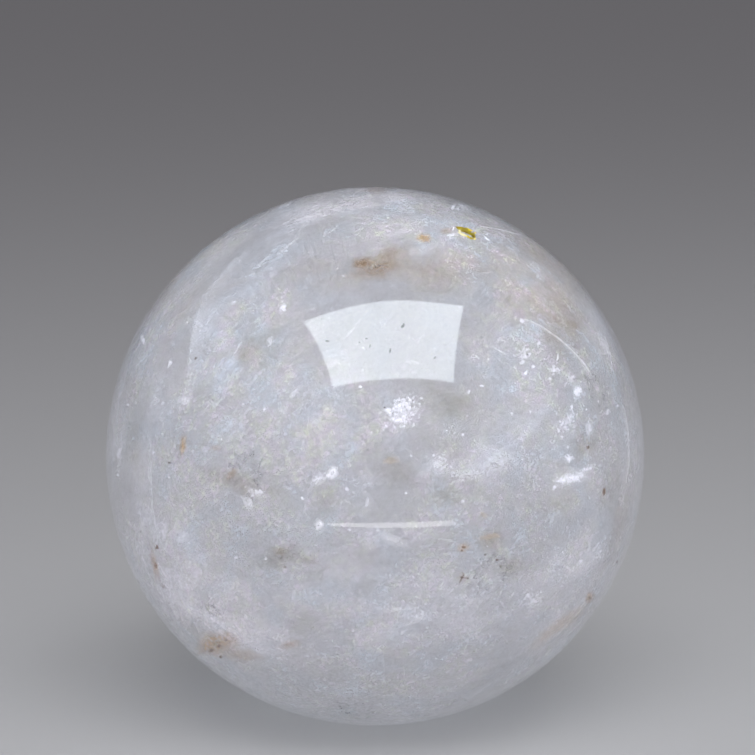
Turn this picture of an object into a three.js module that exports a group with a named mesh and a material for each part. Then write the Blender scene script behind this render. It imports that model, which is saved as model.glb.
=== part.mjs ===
// A cloudy quartz sphere, cut and polished from one piece of rock crystal.
// It is a true ball but for one small flat spot, ground on its underside so that it stands by itself.
// Millimetres, +Z up. The origin is the middle of the flat spot, on the surface that the ball stands on.

import * as THREE from "three";

// Driving dimensions.
const BALL_DIAMETER = 100;
const FLAT_DIAMETER = 22;
const RIM_EASE = 0.5; // how far the flat's rim is eased back, along the flat and along the ball

// Fineness of the faceted ball.
const SIDES_AROUND = 84;
const STEPS_UP_THE_ARC = 44;

// Worked out from them.
const BALL_RADIUS = BALL_DIAMETER / 2;
const FLAT_RADIUS = FLAT_DIAMETER / 2;
const CENTRE_HEIGHT = Math.sqrt(BALL_RADIUS ** 2 - FLAT_RADIUS ** 2);

// The ball's half outline, from the middle of the flat round to the top pole.
// A point on the arc is given by its angle at the ball's centre, counted up from straight down.
function ballOutline() {
  const arcStart = Math.asin((FLAT_RADIUS + RIM_EASE) / BALL_RADIUS);
  const outline = [new THREE.Vector2(0, 0), new THREE.Vector2(FLAT_RADIUS - RIM_EASE, 0)];
  for (let step = 0; step < STEPS_UP_THE_ARC; step += 1) {
    const angle = THREE.MathUtils.lerp(arcStart, Math.PI, step / STEPS_UP_THE_ARC);
    const outwards = BALL_RADIUS * Math.sin(angle);
    const upwards = CENTRE_HEIGHT - BALL_RADIUS * Math.cos(angle);
    outline.push(new THREE.Vector2(outwards, upwards));
  }
  outline.push(new THREE.Vector2(0, CENTRE_HEIGHT + BALL_RADIUS));
  return outline;
}

// Milky rock crystal with a high polish: a pale, faintly violet grey.
function polishedQuartz() {
  return new THREE.MeshStandardMaterial({
    color: new THREE.Color(0.72, 0.72, 0.77),
    roughness: 0.06,
    metalness: 0,
  });
}

function quartzSphere() {
  const ball = new THREE.Mesh(new THREE.LatheGeometry(ballOutline(), SIDES_AROUND), polishedQuartz());
  ball.name = "quartz_sphere";
  ball.rotation.x = Math.PI / 2; // a lathe turns about Y, and the ball stands along Z
  return ball;
}

const part = new THREE.Group();
part.name = "quartz_sphere_part";
part.add(quartzSphere());

export default part;
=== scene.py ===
"""A polished ball of cloudy rock crystal on its ground flat, with its veils, flakes, stains and gold film.

The ball is a clear, slightly hazy body. What shows inside it is made as thin sheets and small flakes, each
in its own place. Those that the photograph shows are given by a pixel of it and a depth under the skin.
"""

import math

import bpy
import numpy as np
from mathutils import Matrix, Vector


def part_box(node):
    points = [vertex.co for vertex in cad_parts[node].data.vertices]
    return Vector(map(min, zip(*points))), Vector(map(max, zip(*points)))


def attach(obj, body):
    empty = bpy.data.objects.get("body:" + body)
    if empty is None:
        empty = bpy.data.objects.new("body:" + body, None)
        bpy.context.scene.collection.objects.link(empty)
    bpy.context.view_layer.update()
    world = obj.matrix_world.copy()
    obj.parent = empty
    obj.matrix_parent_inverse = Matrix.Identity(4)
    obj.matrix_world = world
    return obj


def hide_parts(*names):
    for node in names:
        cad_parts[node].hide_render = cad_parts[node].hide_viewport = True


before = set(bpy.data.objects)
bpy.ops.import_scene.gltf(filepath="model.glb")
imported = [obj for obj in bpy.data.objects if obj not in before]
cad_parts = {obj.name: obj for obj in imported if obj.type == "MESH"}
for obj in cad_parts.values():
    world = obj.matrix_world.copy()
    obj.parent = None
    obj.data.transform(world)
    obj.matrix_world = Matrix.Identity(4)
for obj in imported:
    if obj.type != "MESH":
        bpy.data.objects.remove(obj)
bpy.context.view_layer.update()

MM = 0.001

# The ball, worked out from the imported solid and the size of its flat, and how finely it is divided.
BALL_LOW, BALL_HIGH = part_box("quartz_sphere")
BALL_HEIGHT = BALL_HIGH.z - BALL_LOW.z
FLAT_RADIUS = 11 * MM
RIM_EASE = 0.5 * MM
BALL_RADIUS = (BALL_HEIGHT**2 + FLAT_RADIUS**2) / (2 * BALL_HEIGHT)
BALL_CENTRE = np.array([0.0, 0.0, BALL_HEIGHT - BALL_RADIUS])
SIDES_AROUND = 300
ARC_STEPS = 150
RIM_STEPS = 8

# How quartz bends light, and how much of it the haze inside scatters and takes, per metre.
QUARTZ_IOR = 1.544
QUARTZ_TINT = (0.97, 0.97, 1.0)
HAZE_SCATTER = 15.0
HAZE_SCATTER_TINT = (0.998, 0.960, 0.980)
HAZE_ABSORB = 8.0
HAZE_ABSORB_TINT = (0.55, 0.56, 0.60)

# The photograph's frame, and where the ball lies in it, in pixels.
PHOTO_SIDE = 755
BALL_PIXEL = (375.05, 455.58)
BALL_RADIUS_PIXELS = 269.43
PIXEL = BALL_RADIUS / BALL_RADIUS_PIXELS

# The camera: how high it looks from, and how far from the middle of the ball.
CAMERA_ELEVATION = math.radians(12)
CAMERA_DISTANCE = 0.55
SENSOR_WIDTH = 36

# The softbox overhead, whose mirror image on the ball gave its place.
LAMP_MIDDLE = (0.068, -0.401, 0.738)
LAMP_HALF_WIDTH = 0.413
LAMP_HALF_DEPTH = 0.284
LAMP_SPARE = 1.2
LAMP_LEAN = math.radians(14.4)
LAMP_TURN = math.radians(10.1)
LAMP_ROLL = math.radians(-5.0)
LAMP_RADIANCE = 4.55
LAMP_TINT = (0.930, 0.965, 1.0)

# The sides of its cloth: how far out the middle of each is as a share of the half width or half depth, how
# much it leans and bows, and between which distances from its line it brightens. Its two left corners are cut
# off softly, each at that distance and over that width.
RIGHT_SIDE = (0.975, 0.03, 0.07, -0.015, 0.03)
LEFT_SIDE = (0.880, -0.005, 0.085, -0.02, 0.035)
FAR_SIDE = (0.85, 0.02, 0.10, -0.02, 0.04)
NEAR_SIDE = (0.98, 0.12, 0.03, -0.04, 0.06)
FAR_LEFT_CORNER = (1.95, 0.30)
NEAR_LEFT_CORNER = (1.98, 0.25)

# How much brighter the softbox is in the polish than on what it lights, as a share, the tint of that sheen,
# and how far below the softbox its lamp hangs.
LAMP_SHEEN = 0.44
LAMP_SHEEN_TINT = (0.76, 0.965, 1.0)
SHEEN_DROP = 1 * MM

# The low strip light in front, an arc round the ball that shows only as its mirror image.
STRIP_RADIUS = 0.210
STRIP_WIDTH = 0.025
STRIP_FROM = math.radians(-17.5)
STRIP_TO = math.radians(31.5)
STRIP_HEIGHT = 0.001
STRIP_STEPS = 41
STRIP_FADES_FROM = 0.88

FLOOR_HALF_SIDE = 6.0
FLOOR_GREY = (0.47, 0.465, 0.465)
FLOOR_ROUGHNESS = 0.7
SKY_FRONT = (0.43, 0.42, 0.45)
SKY_BEHIND = (0.075, 0.075, 0.08)
SKY_BRIGHT_WAY = (0.0, -0.87, 0.5)

# A soft fill light in front and low down, which isn't mirrored in the polish.
FILL_PLACE = (0.0, -1.3, 0.16)
FILL_WIDTH = 0.9
FILL_HEIGHT = 0.3
FILL_RADIANCE = 7.5
FILL_TINT = (0.98, 0.955, 1.0)

# The veils' fibres rise to the right, as the photograph shows them.
FIBRE_TURN = (0.0, math.radians(-40), 0.0)

# The least depths under the skin of a sheet, of a flake's rim, of its tips and of a far veil, and how low a
# bubble may lie.
LEAST_DEPTH = 0.25 * MM
LEAST_RIM_DEPTH = 0.03 * MM
LEAST_TIP_DEPTH = 0.02 * MM
LEAST_VEIL_DEPTH = 0.8 * MM
LEAST_BUBBLE_HEIGHT = 0.6 * MM

# The waves that make a disc's rim ragged: how often each goes round, and its height. And how solid a speck's
# middle is.
RIM_WAVES = ((2, 0.16), (5, 0.10), (9, 0.06))
SPECK_MIDDLE = 1.2

# How many of each kind are strewn all through the ball, or all round under its skin.
FAR_VEILS = 16
FROST_SHEETS = 17
WISPS = 450
FAR_SMOKY_PLACES = 20
FAR_STAINS = 8
FAR_FLAKES = 12
BUBBLES = 6000

# The pixel of the place in the softbox's mirror image where the frost is thinned, so that the highlight shows
# clean there, how deep that lies, and how far it reaches.
FROST_CLEAR_PIXEL = (388, 322)
FROST_CLEAR_DEPTH = 1.5 * MM
FROST_CLEAR_REACH = 17 * MM

# Frost: between which shares of the ball's radius a sheet spreads, how deep it lies and how high it swells in
# millimetres, and how much of it is left out under the highlight.
FROST_SPREAD = (0.55, 0.80)
FROST_DEPTH = (1.2, 3.0)
FROST_SWELL = 0.5
FROST_THINNED = 0.65

# Bubbles: how deep and how wide they usually are, and the least half width.
BUBBLE_DEPTH = 3.5 * MM
BUBBLE_GROWTH = 0.03 * MM
BUBBLE_LEAST = 0.05 * MM

# Wisps: depth, length and width in millimetres, cover, and the most they bow as a share of their length.
WISP_DEPTH = (0.5, 6)
WISP_LENGTH = (0.4, 2.0)
WISP_WIDTH = (0.08, 0.40)
WISP_COVER = (0.08, 0.32)
WISP_BOW = 0.3

# The most that a far veil is bent, as a share of its size, and that a flake's rim leans.
VEIL_BEND = 0.35
FLAKE_LEAN = 0.35

# The photograph doesn't show the back. The same kinds of things are carried round to it by these turns, each
# kind by its own, so that it is no copy of the front.
MIST_TURN = math.radians(228)
EDGE_TURN = math.radians(206)
SMOKE_TURN = math.radians(188)
RUST_TURN = math.radians(214)
FLAKE_TURN = math.radians(200)


def places(text):
    """Rows of numbers, one row to a line.

    Each row is a place in the photograph: x, y, length and width in pixels, turn in degrees, depth in
    millimetres, and cover. The comment at each table says what else it holds.
    """
    return [tuple(map(float, line.split())) for line in text.strip().splitlines()]


# Mist clouds, and how blue they are.
MIST_CLOUDS = places("""
215 358 84 62 70 4 0.8 0.8
205 322 74 30 62 3 0.5 0.5
290 390 60 44 20 6 0.12 0.6
530 372 62 50 60 3 0.24 1
495 465 96 48 10 4 0.7 0.4
445 466 60 34 10 4 0.6 0.3
508 426 150 56 37 8 0.36 0.7
572 476 58 26 12 2 0.5 0.3
402 413 58 42 15 3.5 0.12 0
395 535 96 34 0 4 0.6 0.3
366 492 60 30 80 5 0.4 0.3
322 470 40 34 30 4 0.25 0.5
345 428 40 30 60 6 0.15 0.8
397 228 100 26 10 2.5 0.12 0
445 255 70 26 -10 2.5 0.1 0
350 204 170 28 14 1.6 0.8 0.1
355 556 150 80 0 5 0.14 0.2
212 322 60 40 60 3 0.28 0.6
138 480 120 30 88 1.5 0.28 0.3
545 275 60 40 -45 2.5 0.1 0.1
295 220 130 40 32 2 0.55 0.3
430 212 130 30 -12 2 0.4 0
500 245 100 40 -35 2.5 0.05 0
600 335 90 30 -62 2 0.35 0.1
163 556 150 90 -70 1.4 1.25 0.2
212 610 170 90 -42 1.6 1.15 0
470 590 200 80 15 5 0.35 0.1
560 570 110 80 50 4 0.35 0.1
150 330 120 50 62 2.5 0.4 1
215 255 150 50 45 2.5 0.28 1
270 640 140 50 -20 3 0.5 0
604 560 110 44 62 2.5 0.5 0.1
540 620 130 50 38 3 0.45 0.1
430 630 200 50 6 4 0.4 0.2
262 268 150 40 42 4 0.5 0.8
586 546 86 46 70 4 0.55 0.3
303 602 80 44 10 5 0.5 0.1
412 612 90 30 5 4 0.35 0.3
535 592 70 34 25 4 0.4 0.2
226 425 56 40 30 5 0.45 0.2
165 392 90 56 80 3 0.4 0.3
375 585 330 90 0 9 0.4 0.3
495 600 190 90 25 10 0.4 0.3
330 640 200 60 0 7 0.4 0.2
""")

# Smoky places, and how brown they are rather than olive grey.
SMOKY_PLACES = places("""
378 266 66 34 8 2.2 0.85 1
363 263 27 17 12 1.4 0.9 1
361.5 263.5 17 11 12 1.2 0.8 1
388 252 36 18 22 2.2 0.35 1
398 254 50 26 14 2.5 0.45 0.9
446 400 64 46 0 3 0.5 0.3
397 472 46 40 0 3 0.34 0.4
325 502 44 34 0 2.5 0.36 0.1
446 497 46 30 0 2.5 0.55 0.2
280 557 52 34 10 2.2 0.6 0.2
308 560 24 16 0 2 0.45 0.3
238 482 88 32 -14 3 0.5 0.7
181 441 34 26 80 2 0.4 1
134 440 64 28 85 2 0.38 0.2
585 441 48 36 70 3 0.68 0.6
560 324 100 60 -50 3 0.55 0.7
611 487 58 28 80 2 0.3 0.5
560 501 38 34 0 3 0.4 0.2
490 541 32 28 0 2 0.5 0.6
511 566 38 30 0 2.2 0.55 0.1
246 352 34 22 75 2 0.5 0.2
262 348 76 56 70 3 0.55 0.2
436 290 70 20 0 2 0.3 0.2
526 278 160 110 -42 4 0.44 0.9
440 270 150 50 -6 5 0.5 1
350 272 120 50 10 5 0.25 0.8
452 412 36 44 0 3 0.45 0
376 190 40 9 0 1 0.5 1
215 640 80 40 -30 2.5 0.35 1
618 520 110 22 82 1.5 0.3 1
""")

# Iron stains, and how dark they are.
RUSTY_PLACES = places("""
217 643 50 30 30 1.5 0.9 0.05
243 655 46 16 -10 1.5 0.3 0
183 445 22 9 80 1 0.7 0
216 448 14 8 15 1.2 0.25 0
232 474 18 10 35 1.2 0.4 0.2
424 238 16 13 0 1 0.95 0.12
446 231 14 9 0 1.2 0.45 0.3
391 460.5 18 12 0 1.5 0.32 0.3
490 536.4 26 10 14 1.5 0.34 0.2
463.2 547.4 15 14 0 1.5 0.45 0.1
463 578 14 13 0 1.5 0.22 0.6
590 597 20 9 60 1 0.75 0.3
155 566 44 8 -75 0.8 0.55 0.2
290 645 26 14 10 1.5 0.4 0.5
280 551 16 12 0 1.5 0.3 0.4
604 491 10 5 80 0.8 0.6 0.5
574 325 16 10 -40 1.2 0.3 0.5
484 515 10 8 0 1.2 0.3 0
560 626 110 14 37 0.8 0.35 0
550 285 150 90 -42 3 0.09 0.2
430 262 130 40 0 2.5 0.06 0.2
""")

# Rust grains.
RUST_GRAINS = places("""
463.3 546.8 4 3.4 20 0.9 1
462 550.4 2 1.8 20 0.9 0.6
462.1 577.3 3 2.6 0 0.9 0.8
460.3 581 7 1.6 65 0.9 0.65
463.1 574.5 5 1.6 -80 0.9 0.6
466 577.8 7 1.5 -3 0.9 0.5
485 554.8 3 2.6 0 1 0.55
496.7 559.7 2.4 2.4 0 1 0.75
501 566 4 3 0 1 0.35
169 462.8 2.4 2.4 0 0.8 0.7
195.5 358.7 3 2 30 0.8 0.8
157 547 4 3 70 0.6 0.85
163 586 5 3 -60 0.6 0.9
156 566 5 2.4 -75 0.6 0.7
617 562 4 2.4 70 0.6 0.85
590 598 5 3 60 0.6 0.8
604 491 8 2.6 82 0.6 0.7
588.5 447 4 3 0 0.8 0.6
221 657 4 3 0 0.8 0.9
211 651 5 4 20 0.8 0.85
219 646 4 3 0 0.8 0.85
226 640 3 3 0 0.8 0.75
285 567 4 3 0 1 0.35
""")

# Bright flakes. The one at 612.7, 330.6, on the ball's right limb, is a painted highlight.
BRIGHT_FLAKES = places("""
388.2 410.8 7 5 -40 1.6 1
389.9 413.6 4 3 -60 1.5 0.95
394.6 413 5 1.6 -75 1.6 0.8
400.8 404.8 5 3 60 1.6 0.95
400.2 409.2 6 4 -50 1.5 0.95
395.5 407.2 5 3 40 1.7 0.6
406.4 404.6 6 3.4 -60 1.5 1
408.6 408.2 3 2.4 -60 1.5 0.9
408.8 398.5 6 3 -40 1.5 0.85
397.2 420.8 8 5 10 1.6 1
393.8 419.4 4 3 60 1.6 0.95
400.8 420.2 3 3 0 1.5 0.95
386.1 426.4 5 2.6 55 1.7 0.95
383.1 430.2 2.4 1.6 40 1.7 0.75
406.6 422.3 4 1.5 85 1.5 0.9
413.4 425 5 2.2 70 1.7 0.5
419.4 404 2.6 2 0 1.6 0.8
421.1 398.2 5 2.6 20 1.8 0.6
419.4 415.6 6 1.4 85 1.6 0.5
379.8 413 3 2.4 80 1.6 0.5
403.4 414.8 4 3 70 1.5 0.6
394.8 401 4 2 30 1.6 0.5
399.2 399.8 3 1.4 80 1.6 0.45
522.4 321 5 4 10 1.2 0.8
538.8 343.3 4 3 20 1.2 0.7
529 354.8 6 4 60 1.2 0.65
523 362 7 5 40 1.2 0.62
533 367 4 3 10 1.4 0.7
526 373 5 3 70 1.4 0.7
557.6 357.3 10 2 82 1 0.75
554 370 4 3 0 1 0.65
549.7 378.5 4 3 50 1 0.75
577.6 390.6 12 6.5 75 0.9 0.72
571.5 407 5 3 80 0.9 0.65
570.3 416.7 4 3 60 0.9 0.85
561.8 424 4.5 3 50 0.9 0.72
559.4 430 4 3 70 0.9 0.85
561.8 436.7 4.5 3 -60 0.9 0.72
588.5 428.8 14 6.5 80 0.8 0.55
586 410 4 2 80 0.8 0.5
607.9 411.8 7 5 70 0.6 0.55
617.6 405.8 3 2 70 0.5 0.7
569 459.7 6 4 70 0.9 0.72
567.9 447 4 3 80 0.9 0.75
562 480.5 10 6 10 0.9 0.95
572 478.5 12 7 15 0.9 1
581 476 7 5 20 0.8 0.95
554 488 7 3 40 1 0.8
589 468.5 12 4 22 0.8 0.85
233.6 303 6 3 40 1 0.7
283.4 308 5 3.4 75 1 0.55
270 341 10 6 75 1.4 0.26
264.4 409 2.6 2.6 0 1 0.8
293.7 393.8 12 4 50 1.6 0.22
360.4 386.5 4 3 30 1.2 0.7
153 452.5 4 4 0 0.7 0.85
252.6 495 4 3 20 1 0.65
260 490.6 2.6 2.6 0 1 0.6
302.5 498 3 3 0 1 0.75
347.2 489 4 4 0 1 0.9
120 452 10 5 80 0.5 0.7
118 475 5 3 80 0.5 0.6
128 405 4 3 70 0.5 0.65
170.5 363 4 3 60 0.8 0.6
163 403 4 3 60 0.8 0.6
236 558 4 3 30 1 0.7
266 559 4 3 60 1 0.7
184.5 401 9 2.4 84 0.8 0.6
332.6 473 12 8 50 1.2 0.58
329 476 6 5 20 1.2 0.5
316.4 479 13 4 25 1.4 0.55
319 524 7.5 6.5 40 0.8 0.55
317.5 527.5 4 3 40 0.8 0.5
349 529.5 5 2.4 -20 0.8 0.85
378 530 4 3 20 0.9 0.55
433.6 455 4 2.4 60 1 0.65
436 463 9 3 55 1.2 0.5
443 467 8 3 35 1.2 0.5
462.7 435 5 2.6 75 1 0.75
468.8 392 5 2.4 60 1 0.6
481.8 386 4 3 30 1 0.65
511.7 413.7 4 3 30 1 0.65
530 412 3 3 0 1 0.6
411.4 455.8 5 3 30 1.2 0.6
462.7 501 4 3 80 1 0.75
406 493 3 3 0 1 0.75
367 502 10 3 80 1.4 0.5
580.6 562 7 5 50 0.8 0.75
600.5 551.5 4 3 60 0.7 0.75
528.5 596 5 4 40 1 0.6
612.7 330.6 6 3 -60 0.5 0.9
453.3 228.8 4 2.2 70 0.6 0.95
486.2 238 8 1.8 -38 0.6 0.95
487 234.1 2.4 1.6 20 0.6 0.75
451.8 234.8 7 3.4 10 0.9 0.45
452 238 6 1.8 0 0.9 0.4
453.2 207 6 1.2 80 0.6 0.8
453.2 207 6 1.2 20 0.6 0.75
453.4 207.2 5 1.2 -40 0.6 0.7
461 205.6 6 1.4 10 0.6 0.65
457.5 209 5 1.2 -20 0.6 0.6
467 209 4 1.4 -30 0.6 0.5
""")

# Patches of glinting specks. The last two numbers are how thickly they are strewn, and how bright they are.
SPECK_PATCHES = places("""
403 411 62 36 38 1.2 0.74 1
406 414 84 58 20 1.9 0.5 0.5
461 207 30 12 -18 0.6 0.62 0.7
524 353 20 16 60 1.2 0.85 0.75
534 372 40 50 60 1.3 0.48 0.38
474 356 26 12 0 1.3 0.62 0.45
555 370 16 16 60 1 0.8 0.75
570 377 24 12 -40 1 0.75 0.65
568 420 40 16 62 0.9 0.8 0.65
569 458 12 16 80 0.9 0.9 0.75
571 479 40 16 13 0.9 0.72 0.85
588 468 26 8 22 0.8 0.85 0.7
440 462 34 22 40 1.3 0.64 0.5
604 345 50 10 -66 0.5 0.72 0.55
468 474 60 22 12 1.4 0.62 0.5
510 462 80 40 20 1.8 0.48 0.35
448 430 40 26 40 1.6 0.55 0.45
205 350 60 44 62 1.6 0.54 0.32
184 400 16 24 84 0.9 0.8 0.6
155 402 30 16 60 0.9 0.66 0.55
170 363 18 12 60 0.9 0.66 0.55
248 502 34 14 -50 1.1 0.72 0.55
258 492 20 14 0 1.1 0.75 0.7
222 474 50 16 12 1.2 0.55 0.4
318 478 40 14 25 1.3 0.66 0.5
350 492 60 40 60 1.6 0.5 0.4
531 600 46 34 36 1.1 0.68 0.45
416 613 56 26 20 1.2 0.64 0.45
560 560 70 50 40 1.3 0.55 0.4
270 345 30 26 75 1.4 0.5 0.42
283 308 16 12 75 1 0.85 0.7
470 634 80 36 20 1.2 0.56 0.4
120 450 100 12 88 0.5 0.66 0.5
142 520 70 10 -78 0.6 0.62 0.45
622 500 90 10 84 0.5 0.58 0.45
""")

# Soft strokes. Before the depth comes how far their ends rise, in pixels.
SOFT_STROKES = places("""
400 609 50 7 4 2 1.6 0.38
416 620.5 30 7 26 2 1.6 0.42
511.7 595.5 12 3 55 0 1.2 0.6
534 602 26 6 36 1 1.4 0.4
250 503 20 3 -45 0 1.2 0.5
247 508 14 2.4 -40 0 1.2 0.45
457 481.5 20 3 14 -1 1.4 0.45
238 348 22 3 58 0 1.2 0.45
572 378 14 3 50 0 0.9 0.55
566 384 12 2.4 60 0 0.9 0.45
402 232 46 9 12 2 1.4 0.22
306 222 26 4 50 0 1.2 0.32
345 205 30 3 18 0 1 0.4
330 232 26 3 36 0 1.2 0.35
288 246 34 4 40 0 1.2 0.45
262 262 30 3 44 0 1.2 0.4
420 250 60 8 16 2 1.4 0.18
456 234.5 14 5 -22 0 0.8 0.45
394 540 34 12 -20 0 2 0.4
352 330 30 3 50 0 1.4 0.25
498 350 26 3 -30 0 1.4 0.35
446 540 30 3 -12 0 1.4 0.3
300 470 26 3 40 0 1.4 0.35
205 410 22 3 60 0 1.2 0.35
""")

# Soft spots, and how blue they are.
SOFT_SPOTS = places("""
319 525 15 12 40 0.9 1 0
332.6 473 20 13 45 1.2 0.85 0
321 481 22 9 35 1.3 0.5 0
572 478 42 18 13 1 0.5 0.2
577.5 391 20 13 75 1 0.55 0.2
588.5 429 22 12 80 0.9 0.5 0.3
560 425 20 12 60 1 0.4 0.2
402 411 76 56 25 1.6 0.12 0.1
283 308 16 12 75 1.2 0.3 0.2
256 493 26 14 -30 1.2 0.4 0.1
436 462 36 16 40 1.3 0.3 0.2
""")

# Gold film, and how bright it is, from dark olive by yellow to pale: olive where shade is painted on it
# and pale where a highlight is painted on it.
GOLD_FILM = places("""
465 230.6 17 5.6 -24 0.34 1 0.13
460.2 228.4 5 3 -10 0.28 1 0.22
468.9 229.5 10 1.8 -24 0.24 1 0.45
462.6 234.2 11 3.6 -28 0.24 1 0.85
459.6 231.2 4 2.4 -60 0.24 1 0.95
467.8 236.4 6 2.2 -24 0.24 1 0.42
473 235.6 7 5 -45 0.34 1 0.14
471 238.2 4.8 2.6 -10 0.27 1 0.2
474.6 238.6 2.6 2.2 0 0.22 1 0.6
475.2 232.8 2.6 1.8 -30 0.24 1 0.45
""")

# Dark lines in the gold film, and how dark they are.
GOLD_SHADOWS = places("""
466 232.2 9 1.2 -26 0.18 0.8 0.6
472.9 236 4 1.8 -45 0.18 0.95 1
""")

# Polishing pits, real, whose dark look in the lamp's mirror image is painted shade as dark specks, then
# painted shade in the gaps between the glinting flakes, and how dark they are.
DARK_SPECKS = places("""
402.8 325.5 6.6 3.2 55 0.05 0.7 1
390.3 350.8 5 2.2 82 0.05 0.75 1
370 346 4.8 1.6 80 0.05 0.5 1
366.5 338.6 3.4 1.8 0 0.05 0.45 1
359.4 342.6 2.4 1.6 30 0.05 0.4 1
327.5 341 4 2 0 0.05 0.6 1
435 357.6 3.4 2.2 20 0.05 0.45 1
321.5 319 2.6 1.6 0 0.05 0.35 1
392.6 411.5 7.5 1.6 -80 0.9 0.5 1
411.7 407 4.6 1.3 80 0.9 0.45 1
412.6 400.7 3.6 1.5 60 0.9 0.45 1
384.8 407.5 2.4 2 0 0.9 0.45 1
527.6 354.4 2.2 2 0 0.8 0.6 1
560.8 430.9 2.2 2 0 0.7 0.4 0.6
""")

# Edges of veils that the photograph shows as arcs: points on them in pixels, how far the veil runs in pixels
# to the left and right of the way along, depth, how steeply it dives, cover, and how blue it is.
VEIL_EDGES = {
    "left_arc": ([(246, 246), (224, 271), (203, 299), (193, 329), (189, 359), (186, 383), (184, 410)],
                 22, 3, 1.4, 1, 0.30, 0.2),
    "right_arc": ([(515, 317), (533, 322), (547, 330), (561, 340), (575, 353), (586, 366), (594, 380)],
                  1.5, 3.4, 0.8, 0.6, 0.80, 0.1),
    "right_rim": ([(603, 331), (607, 343), (611, 358), (613, 374)], 1.4, 3, 0.6, 1, 0.45, 0.3),
    "lower_left_arc": ([(155, 545), (158, 566), (170, 594), (190, 612), (216, 623), (250, 645), (276, 662)],
                       14, 4, 1.2, 1, 0.38, 0.2),
    "pink_arc": ([(476, 226), (488, 227.5), (500, 229.5), (512, 232.5), (524, 237)],
                 1.2, 1.6, 0.7, 0.5, 0.60, 0),
    "eye_rim": ([(322, 476), (313, 487), (308, 499), (306, 512), (312, 521)], 1.4, 5, 1, 1, 0.40, 0.2),
    "right_limb": ([(622, 398), (628, 430), (629, 462), (625, 490)], 1.6, 5, 0.5, 1, 0.50, 0),
    "left_sweep": ([(150, 430), (150, 470), (153, 510), (158, 545)], 3, 12, 1, 1, 0.42, 0.2),
    "left_limb": ([(124, 377), (119, 400), (117, 430), (118, 460)], 2, 8, 0.8, 1, 0.40, 0.5),
    "lower_right": ([(598, 588), (584, 606), (566, 626), (548, 642), (530, 654)], 2, 12, 0.8, 1, 0.35, 0.1),
    "middle_sweep": ([(436, 476), (468, 470), (500, 456), (530, 432), (550, 404), (558, 378)],
                     14, 10, 2.5, 0.5, 0.18, 0.7),
    "upper_band": ([(170, 346), (192, 308), (226, 270), (270, 236), (318, 214)], 8, 16, 2, 0.8, 0.16, 0.8),
}

rng = np.random.default_rng(1879)


class Number:
    """One number output of a material. Arithmetic on it adds the Math nodes."""

    def __init__(self, recipe, socket):
        self.recipe = recipe
        self.socket = socket

    def math(self, operation, *others):
        made = self.recipe.node("Math", {"operation": operation}, dict(enumerate((self, *others))))
        return Number(self.recipe, made.outputs[0])

    def __add__(self, other):
        return self.math("ADD", other)

    def __sub__(self, other):
        return self.math("SUBTRACT", other)

    def __rsub__(self, other):
        """The other number less this one, by one node."""
        return self.math("MULTIPLY_ADD", -1.0, other)

    def __mul__(self, other):
        return self.math("MULTIPLY", other)

    def __pow__(self, other):
        return self.math("POWER", other)

    __radd__ = __add__
    __rmul__ = __mul__

    def between(self, low, high):
        """0 below low and 1 above high, with a smooth step from one to the other."""
        sockets = {"Value": self, "From Min": low, "From Max": high}
        made = self.recipe.node("MapRange", {"interpolation_type": "SMOOTHSTEP"}, sockets)
        return Number(self.recipe, made.outputs["Result"])


class Recipe:
    """The nodes of a material, a lamp or the sky. node() adds one by its type, settings and sockets."""

    def __init__(self, holder):
        holder.use_nodes = True
        self.holder = holder
        self.tree = holder.node_tree
        self.tree.nodes.clear()

    def node(self, kind, settings=None, sockets=None):
        made = self.tree.nodes.new("ShaderNode" + kind)
        for name, value in (settings or {}).items():
            setattr(made, name, value)
        for name, value in (sockets or {}).items():
            target = made.inputs[name]
            source = value.socket if isinstance(value, Number) else value
            if isinstance(source, bpy.types.NodeSocket):
                self.tree.links.new(source, target)
            elif isinstance(source, tuple) and target.type == "RGBA":
                target.default_value = (*source, 1.0)
            else:
                target.default_value = source
        return made

    def noise(self, size, detail=4.0, roughness=0.55, fibre=1.0, shift=0.0, warp=0.0):
        """Cloudy noise from 0 to 1, with lumps size metres across and fibre times as long up the fibres."""
        sockets = {"Vector": self.node("TexCoord").outputs["Object"], "Location": (shift, shift, shift)}
        sockets |= {"Rotation": FIBRE_TURN, "Scale": (size * fibre, size, size)}
        moved = self.node("Mapping", {"vector_type": "TEXTURE"}, sockets)
        sockets = {"Vector": moved.outputs[0], "Scale": 1.0, "Detail": detail, "Roughness": roughness}
        made = self.node("TexNoise", {}, sockets | {"Distortion": warp})
        return Number(self, made.outputs["Fac"])

    def attribute(self, name):
        """A number stored on the piece's points."""
        made = self.node("Attribute", {"attribute_type": "GEOMETRY", "attribute_name": name})
        return Number(self, made.outputs["Fac"])

    def dot(self, vector, direction, offset=(0, 0, 0)):
        """How far a place lies along a direction, counted from offset."""
        from_there = self.node("VectorMath", {"operation": "SUBTRACT"}, {0: vector, 1: offset}).outputs[0]
        made = self.node("VectorMath", {"operation": "DOT_PRODUCT"}, {0: from_there, 1: direction})
        return Number(self, made.outputs["Value"])

    def blend(self, share, first, second):
        """A colour between two, which are colours or sockets."""
        return self.node("Mix", {"data_type": "RGBA"}, {0: share, 6: first, 7: second}).outputs[2]

    def mixed(self, share, first, second):
        """A shader between two."""
        return self.node("MixShader", {}, {0: share, 1: first, 2: second}).outputs[0]

    def clear(self):
        return self.node("BsdfTransparent").outputs[0]

    def finish(self, surface, **volume):
        """The finished material, from the socket of its surface and that of its Volume if it has one."""
        self.node("OutputMaterial", {}, {"Surface": surface} | volume)
        return self.holder


def new_recipe(name):
    return Recipe(bpy.data.materials.new(name))


def unit(vectors):
    return vectors / np.linalg.norm(vectors, axis=-1, keepdims=True)


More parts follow.
